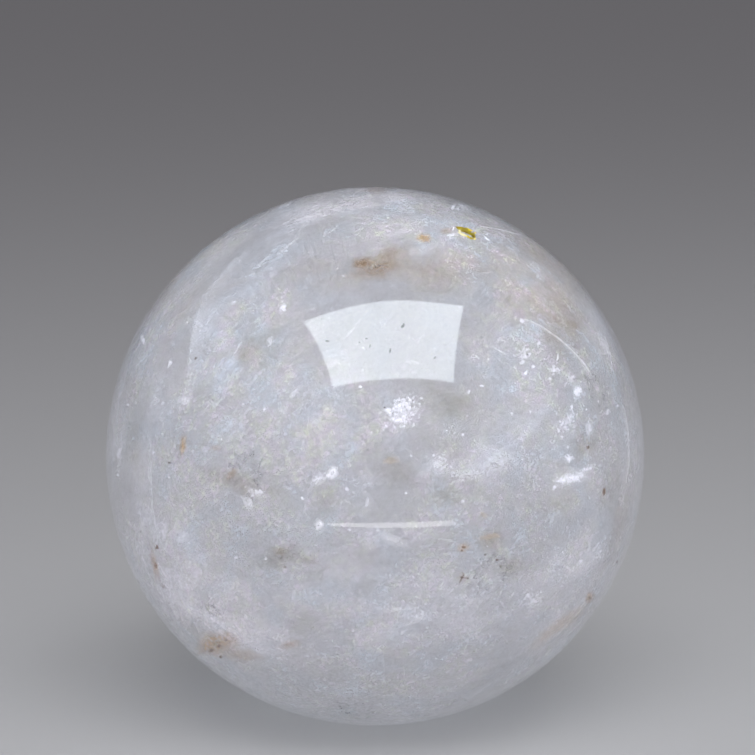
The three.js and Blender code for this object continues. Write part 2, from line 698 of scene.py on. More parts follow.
def grid_faces(rows, columns, closed=False):
    """Four-sided faces between the rows and columns of a grid of points, joined round where it is closed."""
    around = columns if closed else columns - 1
    row, column = np.meshgrid(np.arange(rows - 1), np.arange(around), indexing="ij")
    here = row * columns + column
    beside = row * columns + (column + 1) % columns
    return np.stack([here, beside, beside + columns, here + columns], -1).reshape(-1, 4)


def disc_faces(rings, spokes):
    """The faces of a disc: a middle point, which is point 0, and rings of spokes points round it."""
    around = np.arange(spokes)
    heart = np.stack([np.zeros(spokes, int), 1 + around, 1 + (around + 1) % spokes], 1)
    return heart, 1 + grid_faces(rings, spokes, closed=True)


def add_object(name, data):
    made = bpy.data.objects.new(name, data)
    bpy.context.scene.collection.objects.link(made)
    return made


def add_mesh(name, points, faces, material, numbers):
    """A mesh object from points and groups of faces, with numbers stored on its points."""
    mesh = bpy.data.meshes.new(name)
    mesh.from_pydata(points.tolist(), [], [face for group in faces for face in group.tolist()])
    for key, values in numbers.items():
        mesh.attributes.new(key, "FLOAT", "POINT").data.foreach_set("value", values.astype(np.float32))
    mesh.materials.append(material)
    return add_object(name, mesh)


def add_piece(name, points, faces, material, numbers, smooth=True):
    """A piece of the ball, which rides on the one body."""
    piece = add_mesh(name, points, faces, material, numbers)
    if smooth:
        piece.data.shade_smooth()
    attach(piece, "root")
    return piece


def hide_from(thing, *rays):
    for ray in rays:
        setattr(thing, "visible_" + ray, False)


class Bundle:
    """Many small shapes gathered into one piece. Each point has a cover, and a tone between two colours."""

    def __init__(self):
        self.points, self.faces, self.cover, self.tone = [], [], [], []
        self.count = 0
        self.turn = 0.0

    def add(self, points, faces, cover, tone=0.0):
        """Adds a shape, carried round the ball's upright axis by the bundle's turn."""
        cosine, sine = math.cos(self.turn), math.sin(self.turn)
        about_axis = np.array([(cosine, sine, 0.0), (-sine, cosine, 0.0), (0.0, 0.0, 1.0)])
        self.points.append(points.reshape(-1, 3) @ about_axis)
        self.faces.extend(group + self.count for group in faces)
        self.cover.append(np.broadcast_to(cover, points.shape[:-1]).ravel())
        self.tone.append(np.broadcast_to(tone, points.shape[:-1]).ravel())
        self.count += len(self.points[-1])

    def piece(self, name, material, smooth=True):
        """Makes the piece. It casts no shadow, and what is round it is lit as if it weren't there."""
        numbers = {"cover": np.concatenate(self.cover), "tone": np.concatenate(self.tone)}
        piece = add_piece(name, np.vstack(self.points), self.faces, material, numbers, smooth)
        hide_from(piece, "shadow", "diffuse", "volume_scatter")


# The camera's place and aim, so that the middle of the ball lands on its pixel.
TO_CAMERA = np.array([0.0, -math.cos(CAMERA_ELEVATION), math.sin(CAMERA_ELEVATION)])
CAMERA_PLACE = BALL_CENTRE + CAMERA_DISTANCE * TO_CAMERA
FOCAL_PIXELS = BALL_RADIUS_PIXELS / math.tan(math.asin(BALL_RADIUS / CAMERA_DISTANCE))
AIM_RIGHT = math.atan((PHOTO_SIDE / 2 - BALL_PIXEL[0]) / FOCAL_PIXELS)
AIM_UP = math.atan((BALL_PIXEL[1] - PHOTO_SIDE / 2) / FOCAL_PIXELS)


def camera_axes():
    """The camera's right, up and forward: level with the ball's middle, then tipped up and turned right."""
    across = np.array([1.0, 0.0, 0.0])
    ahead = -TO_CAMERA
    ahead = math.cos(AIM_UP) * ahead + math.sin(AIM_UP) * np.cross(across, ahead)
    up = np.cross(across, ahead)
    ahead = math.cos(AIM_RIGHT) * ahead + math.sin(AIM_RIGHT) * across
    return unit(np.cross(ahead, up)), up, ahead


CAMERA_RIGHT, CAMERA_UP, CAMERA_AHEAD = camera_axes()


def inside(x, y, depth):
    """Points in the ball that show at pixels x, y of the photograph.

    The sight line meets the ball, bends there by the law of refraction, and runs on for the depth.
    """
    x, y, depth = np.broadcast_arrays(*(np.asarray(v, float) for v in (x, y, depth)))
    rightwards = CAMERA_RIGHT * (x - PHOTO_SIDE / 2)[..., None]
    downwards = CAMERA_UP * (y - PHOTO_SIDE / 2)[..., None]
    line = unit(CAMERA_AHEAD * FOCAL_PIXELS + rightwards - downwards)
    offset = CAMERA_PLACE - BALL_CENTRE
    along = (line * offset).sum(-1)
    reach = np.maximum(along**2 - offset @ offset + BALL_RADIUS**2, 0)
    entry = CAMERA_PLACE + (-along - np.sqrt(reach))[..., None] * line
    outward = unit(entry - BALL_CENTRE)
    lean = -(line * outward).sum(-1)
    share = 1 / QUARTZ_IOR
    bent = share * line + (share * lean - np.sqrt(1 - share**2 * (1 - lean**2)))[..., None] * outward
    return kept_in(entry + np.maximum(depth, 0)[..., None] * bent, LEAST_TIP_DEPTH)


def kept_in(points, margin):
    """Points drawn in towards the middle of the ball, so that none is nearer to its skin than the margin."""
    from_middle = points - BALL_CENTRE
    reach = np.linalg.norm(from_middle, axis=-1, keepdims=True)
    return BALL_CENTRE + from_middle * np.minimum(1, (BALL_RADIUS - margin) / np.maximum(reach, 1e-9))


def turned(x, y, length, width, turn, along, across):
    """Pixels at shares of a shape's half length and half width from its middle, and turned from level."""
    angle = np.radians(turn)
    a = along * length / 2
    b = across * width / 2
    return x + a * np.cos(angle) + b * np.sin(angle), y - a * np.sin(angle) + b * np.cos(angle)


def columns_of(rows, extra_axes):
    """The columns of a list of rows, each shaped to go with that many more axes."""
    return (column.reshape((-1,) + (1,) * extra_axes) for column in np.array(rows).T)


def make_camera():
    data = bpy.data.cameras.new("camera")
    data.sensor_width = SENSOR_WIDTH
    data.lens = FOCAL_PIXELS / PHOTO_SIDE * SENSOR_WIDTH
    data.clip_end = 50
    camera = add_object("camera", data)
    axes = np.stack([CAMERA_RIGHT, CAMERA_UP, -CAMERA_AHEAD], 1)
    camera.matrix_world = Matrix.Translation(Vector(CAMERA_PLACE)) @ Matrix(axes.tolist()).to_4x4()
    bpy.context.scene.camera = camera


def area_light(name, width, depth, tint, radiance=1.0):
    data = bpy.data.lights.new(name, "AREA")
    data.shape = "RECTANGLE"
    data.size = width
    data.size_y = depth
    data.color = tint
    data.energy = radiance * (math.pi * width * depth)
    return data


def hang_lamp(data, place):
    lamp = add_object(data.name, data)
    lamp.matrix_world = place
    return lamp


def cloth_side(side, along, bowed, outwards):
    """1 within one side of the softbox's cloth and 0 beyond it. It leans by along and bows by bowed."""
    middle, lean, bow, dark, bright = side
    return (middle + lean * along + bow * bowed - outwards).between(dark, bright)


def make_softbox():
    """An overhead softbox whose cloth is pulled in between its corners: each side is a shallow curve.

    Just below it hangs a weaker copy, which only the polish mirrors.
    """
    width, depth = 2 * LAMP_SPARE * LAMP_HALF_WIDTH, 2 * LAMP_SPARE * LAMP_HALF_DEPTH
    data = area_light("softbox", width, depth, LAMP_TINT)
    turn = Matrix.Rotation(LAMP_TURN, 4, "Z")
    lean = Matrix.Rotation(LAMP_LEAN, 4, "X")
    roll = Matrix.Rotation(LAMP_ROLL, 4, "Y")
    place = Matrix.Translation(LAMP_MIDDLE) @ turn @ lean @ roll
    recipe = Recipe(data)
    spot = recipe.node("NewGeometry").outputs["Position"]
    u = recipe.dot(spot, tuple(place.col[0].to_3d() / LAMP_HALF_WIDTH), LAMP_MIDDLE)
    v = recipe.dot(spot, tuple(place.col[1].to_3d() / LAMP_HALF_DEPTH), LAMP_MIDDLE)
    cloth = cloth_side(RIGHT_SIDE, v, v * v, u) * cloth_side(LEFT_SIDE, v, v * v, 0 - u)
    cloth = cloth * cloth_side(FAR_SIDE, u, (u * u) ** 2, v) * cloth_side(NEAR_SIDE, u, (u * u) ** 2, 0 - v)
    cloth = cloth * (FAR_LEFT_CORNER[0] + u - v).between(0.0, FAR_LEFT_CORNER[1])
    cloth = cloth * (NEAR_LEFT_CORNER[0] + u + v).between(0.0, NEAR_LEFT_CORNER[1])
    glow = recipe.node("Emission", {}, {"Strength": cloth * LAMP_RADIANCE}).outputs[0]
    recipe.node("OutputLight", {}, {0: glow})
    hang_lamp(data, place)
    sheen = data.copy()
    sheen.energy = LAMP_SHEEN * data.energy
    sheen.color = LAMP_SHEEN_TINT
    copy = hang_lamp(sheen, Matrix.Translation((0.0, 0.0, -SHEEN_DROP)) @ place)
    hide_from(copy, "camera", "diffuse", "transmission", "volume_scatter")


def make_fill_light():
    """A wide low panel before the ball, upright and facing it."""
    data = area_light("front_fill", FILL_WIDTH, FILL_HEIGHT, FILL_TINT, FILL_RADIANCE)
    lamp = hang_lamp(data, Matrix.Translation(FILL_PLACE) @ Matrix.Rotation(math.radians(90), 4, "X"))
    hide_from(lamp, "camera", "glossy", "transmission")


def make_strip_light():
    """A low bright strip on the floor in front: an arc about the ball's axis that narrows to its left end.

    It shows only where the polish mirrors it, and it fades out by a square towards its right end.
    """
    along = np.linspace(0, 1, STRIP_STEPS)
    bearing = (STRIP_FROM + along * (STRIP_TO - STRIP_FROM))[:, None]
    half_width = STRIP_WIDTH / 2 * np.clip(0.5 + 1.3 * along, 0, 1) * np.minimum(1, 16 * along + 0.2)
    middle = STRIP_RADIUS - 0.2 * STRIP_WIDTH
    reach = np.stack([middle - half_width, middle + half_width], 1)
    height = np.full_like(reach, STRIP_HEIGHT)
    points = np.stack([reach * np.sin(bearing), -reach * np.cos(bearing), height], -1).reshape(-1, 3)
    glow = np.repeat(1 - np.clip((along - STRIP_FADES_FROM) / (1 - STRIP_FADES_FROM), 0, 1) ** 2, 2)
    recipe = new_recipe("strip_glow")
    lit = recipe.node("Emission", {}, {"Strength": LAMP_RADIANCE}).outputs[0]
    material = recipe.finish(recipe.mixed(recipe.attribute("glow"), recipe.clear(), lit))
    material.cycles.emission_sampling = "NONE"
    strip = add_mesh("strip_light", points, [grid_faces(STRIP_STEPS, 2)], material, {"glow": glow})
    hide_from(strip, "camera", "diffuse", "transmission", "volume_scatter", "shadow")


def make_sky():
    """Soft light from all round, bright in front and above, and dark behind the ball."""
    recipe = Recipe(bpy.data.worlds.new("studio"))
    forwards = recipe.dot(recipe.node("TexCoord").outputs["Generated"], SKY_BRIGHT_WAY)
    colour = recipe.blend(forwards.between(-0.3, 0.9), SKY_BEHIND, SKY_FRONT)
    glow = recipe.node("Background", {}, {"Color": colour}).outputs[0]
    recipe.node("OutputWorld", {}, {0: glow})
    bpy.context.scene.world = recipe.holder


def make_floor():
    half = FLOOR_HALF_SIDE
    points = np.array([(-half, -half, 0), (half, -half, 0), (half, half, 0), (-half, half, 0)])
    recipe = new_recipe("pale_floor")
    sockets = {"Base Color": FLOOR_GREY, "Roughness": FLOOR_ROUGHNESS, "Specular IOR Level": 0.0}
    material = recipe.finish(recipe.node("BsdfPrincipled", {}, sockets).outputs[0])
    add_mesh("floor", points, [np.array([(0, 1, 2, 3)])], material, {})


def crystal_material():
    """Clear quartz with an even haze in it. Lamps shine through its skin, so that what is inside is lit."""
    recipe = new_recipe("cloudy_rock_crystal")
    recipe.holder.cycles.volume_sampling = "DISTANCE"
    sockets = {"Base Color": QUARTZ_TINT, "Roughness": 0.0, "IOR": QUARTZ_IOR, "Transmission Weight": 1.0}
    skin = recipe.node("BsdfPrincipled", {}, sockets).outputs[0]
    for_lamps = recipe.node("LightPath").outputs["Is Shadow Ray"]
    scatter = recipe.node("VolumeScatter", {}, {"Color": HAZE_SCATTER_TINT, "Density": HAZE_SCATTER})
    absorb = recipe.node("VolumeAbsorption", {}, {"Color": HAZE_ABSORB_TINT, "Density": HAZE_ABSORB})
    haze = recipe.node("AddShader", {}, {0: scatter.outputs[0], 1: absorb.outputs[0]}).outputs[0]
    return recipe.finish(recipe.mixed(for_lamps, skin, recipe.clear()), Volume=haze)


def thin_layer(recipe, colour, through, cover):
    """A thin layer of a colour that changes over it, lit from both sides, and clear where cover is 0.

    Half of its light comes back off it, and half goes through it in the one colour given for that.
    """
    sockets = {"Base Color": colour, "Roughness": 1.0, "Specular IOR Level": 0.0}
    front = recipe.node("BsdfPrincipled", {}, sockets).outputs[0]
    back = recipe.node("BsdfTranslucent", {}, {"Color": through}).outputs[0]
    return recipe.finish(recipe.mixed(cover, recipe.clear(), recipe.mixed(0.5, front, back)))


def toned_layer(recipe, pattern, first, second, through):
    """A thin layer whose cover is a pattern times the piece's own, in a colour between two by its tone."""
    cover = (pattern * recipe.attribute("cover")).math("MINIMUM", 1.0)
    return thin_layer(recipe, recipe.blend(recipe.attribute("tone"), first, second), through, cover)


def mist_material():
    """Healed cracks: white to bluish mist in fibrous wisps of several sizes."""
    recipe = new_recipe("veil_mist")
    broad = recipe.noise(7 * MM, detail=6, roughness=0.66, fibre=1.6, warp=0.4).between(0.28, 0.70)
    fine = recipe.noise(0.9 * MM, detail=4, roughness=0.7, fibre=2.0, shift=0.3).between(0.30, 0.72)
    white, blue = (0.99, 0.93, 0.95), (0.70, 0.85, 1.0)
    return toned_layer(recipe, broad * (0.30 + 0.85 * fine), white, blue, through=(0.92, 0.91, 0.97))


def edge_material():
    """The denser mist at the edge of a veil, in fine grains."""
    recipe = new_recipe("veil_edge_mist")
    grain = recipe.noise(0.7 * MM, detail=3, roughness=0.6, fibre=1.5).between(0.25, 0.65)
    white, blue = (0.96, 0.95, 0.95), (0.70, 0.84, 1.0)
    return toned_layer(recipe, 0.45 + 0.55 * grain, white, blue, through=(0.93, 0.93, 0.97))


def frost_material():
    """Fine frost near the skin: grains and short fibres of white, a little olive, violet or blue by place."""
    recipe = new_recipe("fine_frost")
    lumps = recipe.noise(4 * MM, detail=5, roughness=0.66, fibre=1.4, shift=0.9).between(0.32, 0.68)
    grain = recipe.noise(0.7 * MM, detail=3, roughness=0.75, fibre=1.2, shift=0.5).between(0.20, 0.82)
    flecks = recipe.noise(0.34 * MM, detail=2, shift=0.2).between(0.50, 0.80)
    frost = 0.31 * grain - 0.03 + lumps * (0.03 + 0.41 * grain + 0.20 * flecks)
    warm = recipe.noise(1.6 * MM, detail=4, roughness=0.65, shift=0.1).between(0.38, 0.62)
    cold = recipe.noise(6 * MM, detail=3, shift=0.5).between(0.42, 0.66)
    olive, violet, blue = (0.87, 0.95, 0.66), (0.98, 0.81, 1.0), (0.73, 0.87, 1.0)
    colour = recipe.blend(cold, recipe.blend(warm, olive, violet), blue)
    return thin_layer(recipe, colour, (0.94, 0.92, 0.95), frost * recipe.attribute("cover"))


def speck_material(name, grain_size, colour):
    """Ragged specks: cover and a fine grain together have to pass a bar, and tone says how solid they are."""
    recipe = new_recipe(name)
    grain = recipe.noise(grain_size, detail=3, roughness=0.6, fibre=1.4)
    glint = recipe.noise(2.5 * grain_size, detail=2, shift=0.6).between(0.35, 0.6)
    body = (recipe.attribute("cover") + 1.8 * grain).between(1.33, 1.70)
    return thin_layer(recipe, colour, colour, body * recipe.attribute("tone") * (0.6 + 0.4 * glint))


def smoke_material():
    """Darker patches of the crystal: olive grey to brown, in soft clouds."""
    recipe = new_recipe("smoky_stain")
    broad = recipe.noise(4 * MM, detail=5, roughness=0.6, shift=0.4, warp=0.3).between(0.22, 0.52)
    fine = recipe.noise(0.8 * MM, detail=3, roughness=0.65, shift=0.6).between(0.25, 0.75)
    olive, brown = (0.30, 0.31, 0.25), (0.32, 0.22, 0.13)
    pattern = (0.35 + 0.65 * broad) * (0.6 + 0.4 * fine)
    return toned_layer(recipe, pattern, olive, brown, through=(0.30, 0.27, 0.22))


def rust_material():
    """Iron stain: orange where it is thin and dark brown where it is thick."""
    recipe = new_recipe("iron_stain")
    fine = recipe.noise(1.1 * MM, detail=5, roughness=0.65, shift=0.8, warp=0.4).between(0.25, 0.75)
    orange, brown = (0.76, 0.48, 0.17), (0.14, 0.08, 0.05)
    return toned_layer(recipe, 0.6 + 0.4 * fine, orange, brown, through=(0.38, 0.22, 0.09))


def flake_material(name, first, second):
    """Small flakes between two colours, each as solid as its cover says, with a mottled face."""
    recipe = new_recipe(name)
    grain = recipe.noise(0.3 * MM, detail=3, roughness=0.6).between(0.30, 0.65)
    colour = recipe.blend(recipe.attribute("tone"), first, second)
    worn = recipe.blend(0.75 + 0.25 * grain, tuple(0.4 * c for c in first), colour)
    return thin_layer(recipe, worn, first, recipe.attribute("cover"))


def gold_material():
    """Gold that glints: part metal, part yellow body colour, olive at low tones and pale at high ones.

    The olive is painted shade and the pale is a painted highlight.
    """
    recipe = new_recipe("gold_film")
    grain = recipe.noise(0.25 * MM, detail=3, roughness=0.6).between(0.30, 0.65)
    tone = recipe.attribute("tone")
    olive, yellow, pale, worn = (0.15, 0.11, 0.0), (1.0, 0.80, 0.03), (1.0, 0.97, 0.75), (0.20, 0.14, 0.02)
    # Painted shade and painted highlight: low tones olive, middle ones yellow, high ones pale.
    colour = recipe.blend(2 * tone - 1, recipe.blend(2 * tone, olive, yellow), pale)
    colour = recipe.blend(0.8 + 0.2 * grain, worn, colour)
    sockets = {"Base Color": colour, "Roughness": 0.35, "Metallic": 0.3, "Alpha": recipe.attribute("cover")}
    return recipe.finish(recipe.node("BsdfPrincipled", {}, sockets).outputs[0])


def ball_profile():
    """The ball's half outline: along the flat, round its eased rim by a curve, and up the arc to the top."""
    arc_start = math.asin((FLAT_RADIUS + RIM_EASE) / BALL_RADIUS)
    arc_foot = np.array([FLAT_RADIUS + RIM_EASE, BALL_CENTRE[2] - BALL_RADIUS * math.cos(arc_start)])
    flat_end = np.array([FLAT_RADIUS - RIM_EASE, 0.0])
    corner = np.array([arc_foot[0] - arc_foot[1] / math.tan(arc_start), 0.0])
    t = np.linspace(0, 1, RIM_STEPS + 1)[:, None]
    rim = (1 - t) ** 2 * flat_end + 2 * t * (1 - t) * corner + t**2 * arc_foot
    angle = np.linspace(arc_start, math.pi, ARC_STEPS + 1)[1:-1]
    arc = np.stack([BALL_RADIUS * np.sin(angle), BALL_CENTRE[2] - BALL_RADIUS * np.cos(angle)], 1)
    flat = np.array([[flat_end[0] - 0.1 * MM, 0.0]])
    return np.vstack([flat, rim, arc])


def make_ball():
    """The outline carried round the upright axis, with one point in the middle of the flat and one on top."""
    profile = ball_profile()
    around = np.arange(SIDES_AROUND)
    turn = around * (2 * math.pi / SIDES_AROUND)
    out, up = profile[:, :1], profile[:, 1:]
    height = np.repeat(up, SIDES_AROUND, 1)
    rings = np.stack([out * np.cos(turn), out * np.sin(turn), height], -1).reshape(-1, 3)
    points = np.vstack([rings, [[0, 0, 0], [0, 0, BALL_HEIGHT]]])
    after = (around + 1) % SIDES_AROUND
    last = len(rings) - SIDES_AROUND
    foot = np.stack([np.full(SIDES_AROUND, len(rings)), after, around], 1)
    top = np.stack([np.full(SIDES_AROUND, len(rings) + 1), last + around, last + after], 1)
    faces = [grid_faces(len(profile), SIDES_AROUND, closed=True), foot, top]
    ball = add_piece("quartz_ball", points, faces, crystal_material(), {})
    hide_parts("quartz_sphere")


def ragged_disc(rings, spokes):
    """A disc's points as shares of its half length and half width, its rim moved in and out by waves.

    Gives them with the share of the way out to the rim, from 0 to 1.
    """
    way_out = np.linspace(0, 1, rings + 1)[1:, None]
    angle = np.arange(spokes) * (2 * math.pi / spokes)
    starts = rng.uniform(0, 2 * math.pi, len(RIM_WAVES))
    rim = 1
    for (rounds, height), start in zip(RIM_WAVES, starts):
        rim = rim + height * np.sin(rounds * angle + start)
    along = np.append(0, (way_out * rim * np.cos(angle)).ravel())
    across = np.append(0, (way_out * rim * np.sin(angle)).ravel())
    return along, across, np.append(0, np.repeat(way_out, spokes, 1).ravel())


def add_clouds(bundle, rows, dive, rings=12, spokes=36, softness=1.5):
    """Thin clouds over ellipses of the photograph. Each leans back by dive, so that it faces the lamp.

    Its cover falls from the middle to nothing at the rim, and its depth rises and falls in two gentle waves.
    """
    for x, y, length, width, turn, depth, cover, tone in rows:
        along, across, way_out = ragged_disc(rings, spokes)
        px, py = turned(x, y, length, width, turn, along, across)
        waves = rng.uniform(0, 2 * math.pi, 2)
        swell = 0.10 * width * (np.sin(3 * along + waves[0]) + np.sin(3 * across + waves[1]))
        sunk = np.maximum(depth * MM + PIXEL * (dive * (y - py) + swell), LEAST_DEPTH)
        fade = (1 - way_out**2) ** softness
        bundle.add(inside(px, py, sunk), disc_faces(rings, spokes), cover * fade, tone)


def add_flakes(bundle, rows, corners=6, swollen=1.0, rim=None):
    """Flat flakes over pixels of the photograph: a ring of ragged corners, and a point before and behind it.

    They are swollen times as large as their rows say. Where a rim is given, they are specks: cover falls to
    it from the middle, and tone holds the row's cover.
    """
    count = len(rows)
    x, y, length, width, turn, depth, cover, *tone = columns_of(rows, 1)
    length, width = swollen * length, swollen * width
    angle = (np.arange(corners) + rng.uniform(-0.35, 0.35, (count, corners))) * (2 * math.pi / corners)
    reach = rng.uniform(0.6, 1.25, (count, corners))
    px, py = turned(x, y, length, width, turn, reach * np.cos(angle), reach * np.sin(angle))
    lean = rng.uniform(-FLAKE_LEAN, FLAKE_LEAN, (2, count, 1))
    sunk = depth * MM + PIXEL * (lean[0] * (px - x) + lean[1] * (py - y))
    half_thick = 0.06 * PIXEL * np.minimum(length, width)
    ring = inside(px, py, np.maximum(sunk, LEAST_RIM_DEPTH))
    front = inside(x, y, np.maximum(depth * MM - half_thick, LEAST_TIP_DEPTH))
    back = inside(x, y, depth * MM + half_thick)
    if rim is not None:
        tone = [cover]
        cover = np.array([rim] * corners + [SPECK_MIDDLE] * 2)
    bundle.add(np.concatenate([ring, front, back], 1), [flake_faces(count, corners)], cover, tone[0])


def flake_faces(count, corners):
    """Triangles from each ring of corners to the point in front of it and the point behind it."""
    first = np.arange(count)[:, None] * (corners + 2)
    here = first + np.arange(corners)
    after = first + (np.arange(corners) + 1) % corners
    front = np.stack(np.broadcast_arrays(after, here, first + corners), -1)
    back = np.stack(np.broadcast_arrays(here, after, first + corners + 1), -1)
    return np.concatenate([front, back]).reshape(-1, 3)


def stroke_shape(steps, lanes=3):
    """A stroke's points as shares of its half length and half width, pointed at both ends, and their fade."""
    along = np.linspace(-1, 1, steps)[:, None]
    across = np.linspace(-1, 1, lanes)[None, :]
    narrowed = across * np.sqrt(1 - 0.97 * along**2)
    fade = (1 - 0.9 * along**2) * (1 - 0.8 * np.abs(across))
    return np.broadcast_to(along, fade.shape), narrowed, fade


def strip_faces(count, steps, lanes=3):
    """The faces of that many grids of steps by lanes, one after the other."""
    first = np.arange(count)[:, None, None] * (steps * lanes)
    return (first + grid_faces(steps, lanes)).reshape(-1, 4)


def add_strokes(bundle, rows, steps=9):
    """Soft thin strokes over pixels of the photograph, whose ends rise by the square of the way along."""
    x, y, length, width, turn, rise, depth, cover = columns_of(rows, 2)
    along, across, fade = stroke_shape(steps)
    px, py = turned(x, y, length, width, turn, along, across)
    py = py - rise * along**2
    points = inside(px, py, depth * MM + 0.4 * PIXEL * (y - py))
    bundle.add(points, [strip_faces(len(rows), steps)], cover * fade)


def smooth_path(stops, steps):
    """Points along a smooth curve through the stops: cubics whose slope at a stop follows its neighbours."""
    stops = np.array(stops, float)
    ends = np.vstack([2 * stops[0] - stops[1], stops, 2 * stops[-1] - stops[-2]])
    place = np.linspace(0, len(stops) - 1, steps)
    first = np.minimum(place.astype(int), len(stops) - 2)
    t = (place - first)[:, None]
    a, b, c, d = (ends[first + k] for k in range(4))
    return b + 0.5 * t * (c - a + t * (2 * a - 5 * b + 4 * c - d + t * (3 * (b - c) + d - a)))


def add_veil_edge(bundle, stops, left, right, depth, dive, cover, tone, steps=48, lanes=13):
    """A veil along a curve of the photograph. It is densest on it and fades to each side by that many pixels.

    It lies at its depth on the curve and dives away from it.
    """
    path = smooth_path(stops, steps)
    ahead = unit(np.gradient(path, axis=0))
    leftwards = np.stack([ahead[:, 1], -ahead[:, 0]], 1)
    lane = np.linspace(-1, 1, lanes)
    way_out = np.abs(lane) ** 1.5 * np.sign(lane)
    distance = np.where(way_out > 0, left, right) * way_out
    spots = path[:, None] + leftwards[:, None] * distance[None, :, None]
    end = np.linspace(-1, 1, steps)[:, None]
    fade = (1 - np.abs(way_out)) ** 1.6 * (1 - end**6)
    sunk = np.broadcast_to(depth * MM + dive * PIXEL * np.abs(distance), spots.shape[:2])
    bundle.add(inside(spots[..., 0], spots[..., 1], sunk), [grid_faces(steps, lanes)], cover * fade, tone)


def random_directions(count):
    return unit(rng.normal(size=(count, 3)))


def random_axes(count):
    """Three axes at right angles for each of that many shapes, turned at random."""
    first = random_directions(count)
    second = unit(np.cross(first, random_directions(count)))
    return first, second, np.cross(first, second)


def add_far_veils(bundle, count, reach, size, strength, in_front, tone=None):
    """Curved veils all through the ball: ragged discs, each bent like a shallow bowl and kept in the skin.

    They lie at shares of its radius from the middle, and those near the skin follow it. On the photograph's
    side they are only in_front times as strong.
    """
    rings, spokes = 10, 32
    outward = random_directions(count)
    from_middle = BALL_RADIUS * rng.uniform(*reach, count)
    sizes = rng.uniform(*size, (count, 2)) * MM
    across, along, facing = random_axes(count)
    if reach[0] > 0.7:
        facing = outward
        across = unit(np.cross(outward, across))
        along = np.cross(facing, across)
    bend = rng.uniform(-VEIL_BEND, VEIL_BEND, count)
    cover = rng.uniform(*strength, count)
    near = np.clip((outward @ TO_CAMERA - 0.1) / 0.5, 0, 1)
    cover = cover * (1 - (1 - in_front) * near)
    for k in range(count):
        s, t, way_out = ragged_disc(rings, spokes)
        middle = BALL_CENTRE + from_middle[k] * outward[k]
        flat = s[:, None] * sizes[k, 0] * along[k] + t[:, None] * sizes[k, 1] * across[k]
        bowl = (bend[k] * sizes[k].mean() * way_out**2)[:, None] * facing[k]
        points = kept_in(middle + flat + bowl, LEAST_VEIL_DEPTH)
        shade = rng.uniform(0, 1) if tone is None else tone
        bundle.add(points, disc_faces(rings, spokes), (1 - way_out**2) ** 1.5 * cover[k], shade)


def spread_directions(count):
    """Directions spread evenly all round, each a golden angle on from the last and a step lower."""
    height = 1 - (2 * np.arange(count) + 1) / count
    turn = np.arange(count) * math.pi * (3 - math.sqrt(5))
    round_axis = np.sqrt(1 - height**2)
    return np.stack([round_axis * np.cos(turn), round_axis * np.sin(turn), height], 1)


def add_frost(bundle, count):
    """Ragged sheets of fine frost that follow the skin a few millimetres under it, each with its own swell.

    They are thinner under the softbox's mirror image at the front, so that the highlight there shows clean.
    """
    rings, spokes = 12, 40
    clear = inside(*FROST_CLEAR_PIXEL, FROST_CLEAR_DEPTH)
    for outward in spread_directions(count):
        s, t, way_out = ragged_disc(rings, spokes)
        side = unit(np.cross(outward, random_directions(1)[0]))
        spread = rng.uniform(*FROST_SPREAD)
        flat = spread * (s[:, None] * side + t[:, None] * np.cross(outward, side))
        starts = rng.uniform(0, 2 * math.pi, 2)
        depth = rng.uniform(*FROST_DEPTH) + FROST_SWELL * np.sin(5 * s + starts[0])
        depth = depth + FROST_SWELL * np.sin(5 * t + starts[1])
        points = BALL_CENTRE + (BALL_RADIUS - depth * MM)[:, None] * unit(outward + flat)
        from_clear = np.linalg.norm(points - clear, axis=1) / FROST_CLEAR_REACH
        # Less frost under the softbox's mirror image, so that the highlight there shows clean.
        fade = (1 - way_out**4) * rng.uniform(0.7, 1.0) * (1 - FROST_THINNED * np.exp(-(from_clear**4)))
        points[:, 2] = np.maximum(points[:, 2], LEAST_DEPTH)
        bundle.add(points, disc_faces(rings, spokes), fade)


def add_bubbles(bundle, count):
    """Tiny bubbles and flecks near the skin all round, each with six points on three axes of its own."""
    outward = random_directions(count)
    depth = rng.exponential(BUBBLE_DEPTH, count) + LEAST_DEPTH
    middle = BALL_CENTRE + outward * (BALL_RADIUS - np.minimum(depth, 0.8 * BALL_RADIUS))[:, None]
    middle[:, 2] = np.maximum(middle[:, 2], LEAST_BUBBLE_HEIGHT)
    size = BUBBLE_LEAST + rng.exponential(BUBBLE_GROWTH, count)
    axes = random_axes(count)
    stretch = rng.uniform((0.8, 0.5, 0.3), (2.2, 1.1, 0.8), (count, 3))
    arms = [axis * (size * stretch[:, k])[:, None] for k, axis in enumerate(axes)]
    points = np.stack([middle + sign * arm for arm in arms for sign in (1, -1)], 1)
    corners = [(0, 2, 4), (2, 1, 4), (1, 3, 4), (3, 0, 4), (2, 0, 5), (1, 2, 5), (3, 1, 5), (0, 3, 5)]
    faces = (np.arange(count)[:, None, None] * 6 + np.array(corners)).reshape(-1, 3)
    bundle.add(points, [faces], 1.0, rng.uniform(0, 1, (count, 1)) ** 3)


